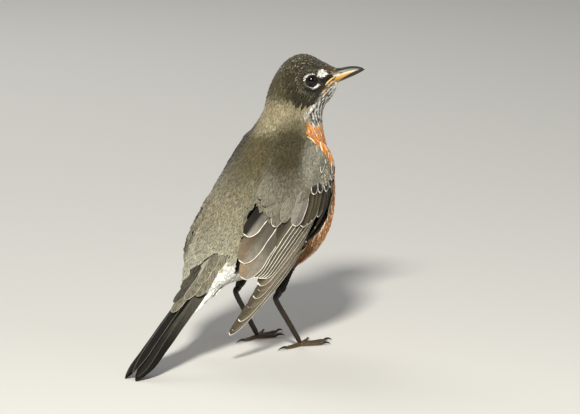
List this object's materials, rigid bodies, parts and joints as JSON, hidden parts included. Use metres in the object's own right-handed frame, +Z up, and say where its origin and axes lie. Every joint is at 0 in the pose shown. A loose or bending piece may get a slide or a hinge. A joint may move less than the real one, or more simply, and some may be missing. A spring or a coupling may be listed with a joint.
{
  "type": "american robin",
  "caption": "Life-size still model of an American robin standing upright with folded, drooping wings, its head turned over its right shoulder.",
  "frame": {"origin": "middle of the underside of the whole bird's box, on the floor it stands on", "axes": "+X is where the trunk faces, +Y its left side, +Z up; the head looks between +X and -Y"},
  "size_m": [0.1816, 0.0754, 0.1908],
  "materials": {
    "back_plumage": "grey-brown feathers with fine pale edges",
    "neck_plumage": "short grey-brown feathers, paler than the back; white throat with black streaks",
    "head_plumage": "blackish short feathers with brown-grey edges, broken white ring round the eye",
    "trunk_plumage": "grey-brown back, orange breast and belly with pale fringes, white under the tail",
    "thigh_plumage": "short dark grey-brown feathers",
    "wing_quills": "dark brown vanes with pale grey-buff edges and dark shafts",
    "tail_quills": "blackish vanes, greyer at the root, with thin pale edges",
    "bill_horn": "horn, yellow with a dark ridge and tip",
    "eye": "wet dark brown",
    "leg_scales": "dark brown scutes, paler on the toes",
    "claw_horn": "dark horn"
  },
  "bodies": {
    "root": {"trunk": "trunk_plumage", "neck": "neck_plumage", "head": "head_plumage", "bill_upper": "bill_horn", "bill_lower": "bill_horn", "tail": "tail_quills", "eye_left": "eye", "wing_left_coverts": "back_plumage", "wing_left_secondaries": "wing_quills", "wing_left_primaries": "wing_quills", "thigh_left": "thigh_plumage", "shank_left": "leg_scales", "toe_left_middle": "leg_scales", "claw_left_middle": "claw_horn", "toe_left_inner": "leg_scales", "claw_left_inner": "claw_horn", "toe_left_outer": "leg_scales", "claw_left_outer": "claw_horn", "toe_left_hind": "leg_scales", "claw_left_hind": "claw_horn", "eye_right": "eye", "wing_right_coverts": "back_plumage", "wing_right_secondaries": "wing_quills", "wing_right_primaries": "wing_quills", "thigh_right": "thigh_plumage", "shank_right": "leg_scales", "toe_right_middle": "leg_scales", "claw_right_middle": "claw_horn", "toe_right_inner": "leg_scales", "claw_right_inner": "claw_horn", "toe_right_outer": "leg_scales", "claw_right_outer": "claw_horn", "toe_right_hind": "leg_scales", "claw_right_hind": "claw_horn"}
  },
  "joints": []
}
